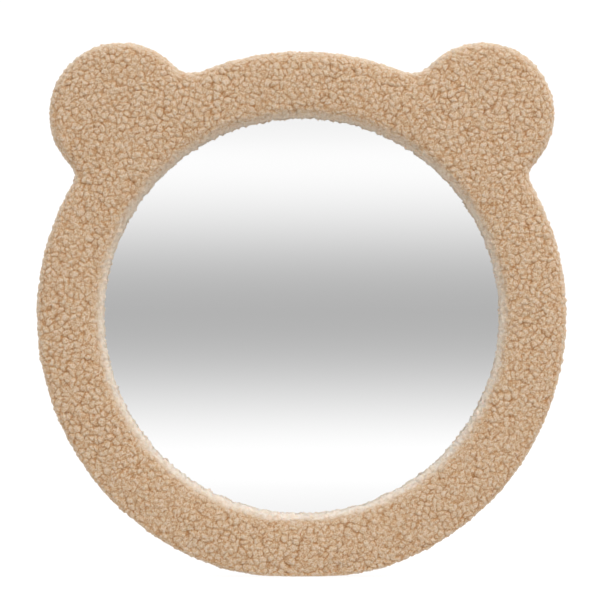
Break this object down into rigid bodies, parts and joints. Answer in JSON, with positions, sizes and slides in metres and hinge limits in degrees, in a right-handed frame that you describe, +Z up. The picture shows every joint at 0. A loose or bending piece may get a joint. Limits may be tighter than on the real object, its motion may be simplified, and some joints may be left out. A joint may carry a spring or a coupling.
{
  "type": "wall mirror",
  "caption": "Round wall mirror in a flat bear-head frame with round ears, covered in curly tan sherpa fabric, with D-ring hangers on the back.",
  "frame": {"origin": "centre of the mirror, on the wall plane that the faces of the rubber wall pads touch", "axes": "+Z up, the mirror faces -Y into the room, +Y points into the wall, +X to the right as seen from the front"},
  "size_m": [0.34, 0.0315, 0.3425],
  "materials": {
    "sherpa_fabric": "curly tan pile fabric",
    "wadding": "soft white polyester fibre",
    "board": "raw fibreboard",
    "staple_steel": "galvanised wire",
    "mirror": "silvered glass",
    "back_paint": "grey protective paint",
    "pad_foam": "thin closed-cell foam",
    "hardboard": "brown hardboard",
    "screw_steel": "zinc plated",
    "pad_rubber": "black rubber",
    "strap_steel": "nickel plated",
    "ring_steel": "nickel plated wire"
  },
  "bodies": {
    "mirror": {"sherpa_cover": "sherpa_fabric", "front_wadding": "wadding", "frame_board": "board", "cover_staples": "staple_steel", "mirror_glass": "mirror", "mirror_back_paint": "back_paint", "glass_backing_pad": "pad_foam", "back_panel": "hardboard", "back_panel_screws": "screw_steel", "wall_pads": "pad_rubber", "hanger_strap_left": "strap_steel", "hanger_strap_right": "strap_steel", "hanger_screws": "screw_steel"},
    "left_ring": {"d_ring_left": "ring_steel"},
    "right_ring": {"d_ring_right": "ring_steel"}
  },
  "joints": [
    {"name": "left_ring_hinge", "type": "hinge", "parent": "mirror", "child": "left_ring", "pos_m": [-0.108, -0.00335, 0.147], "axis": [1, 0, 0], "range_deg": [0, 180]},
    {"name": "right_ring_hinge", "type": "hinge", "parent": "mirror", "child": "right_ring", "pos_m": [0.108, -0.00335, 0.147], "axis": [1, 0, 0], "range_deg": [0, 180]}
  ]
}
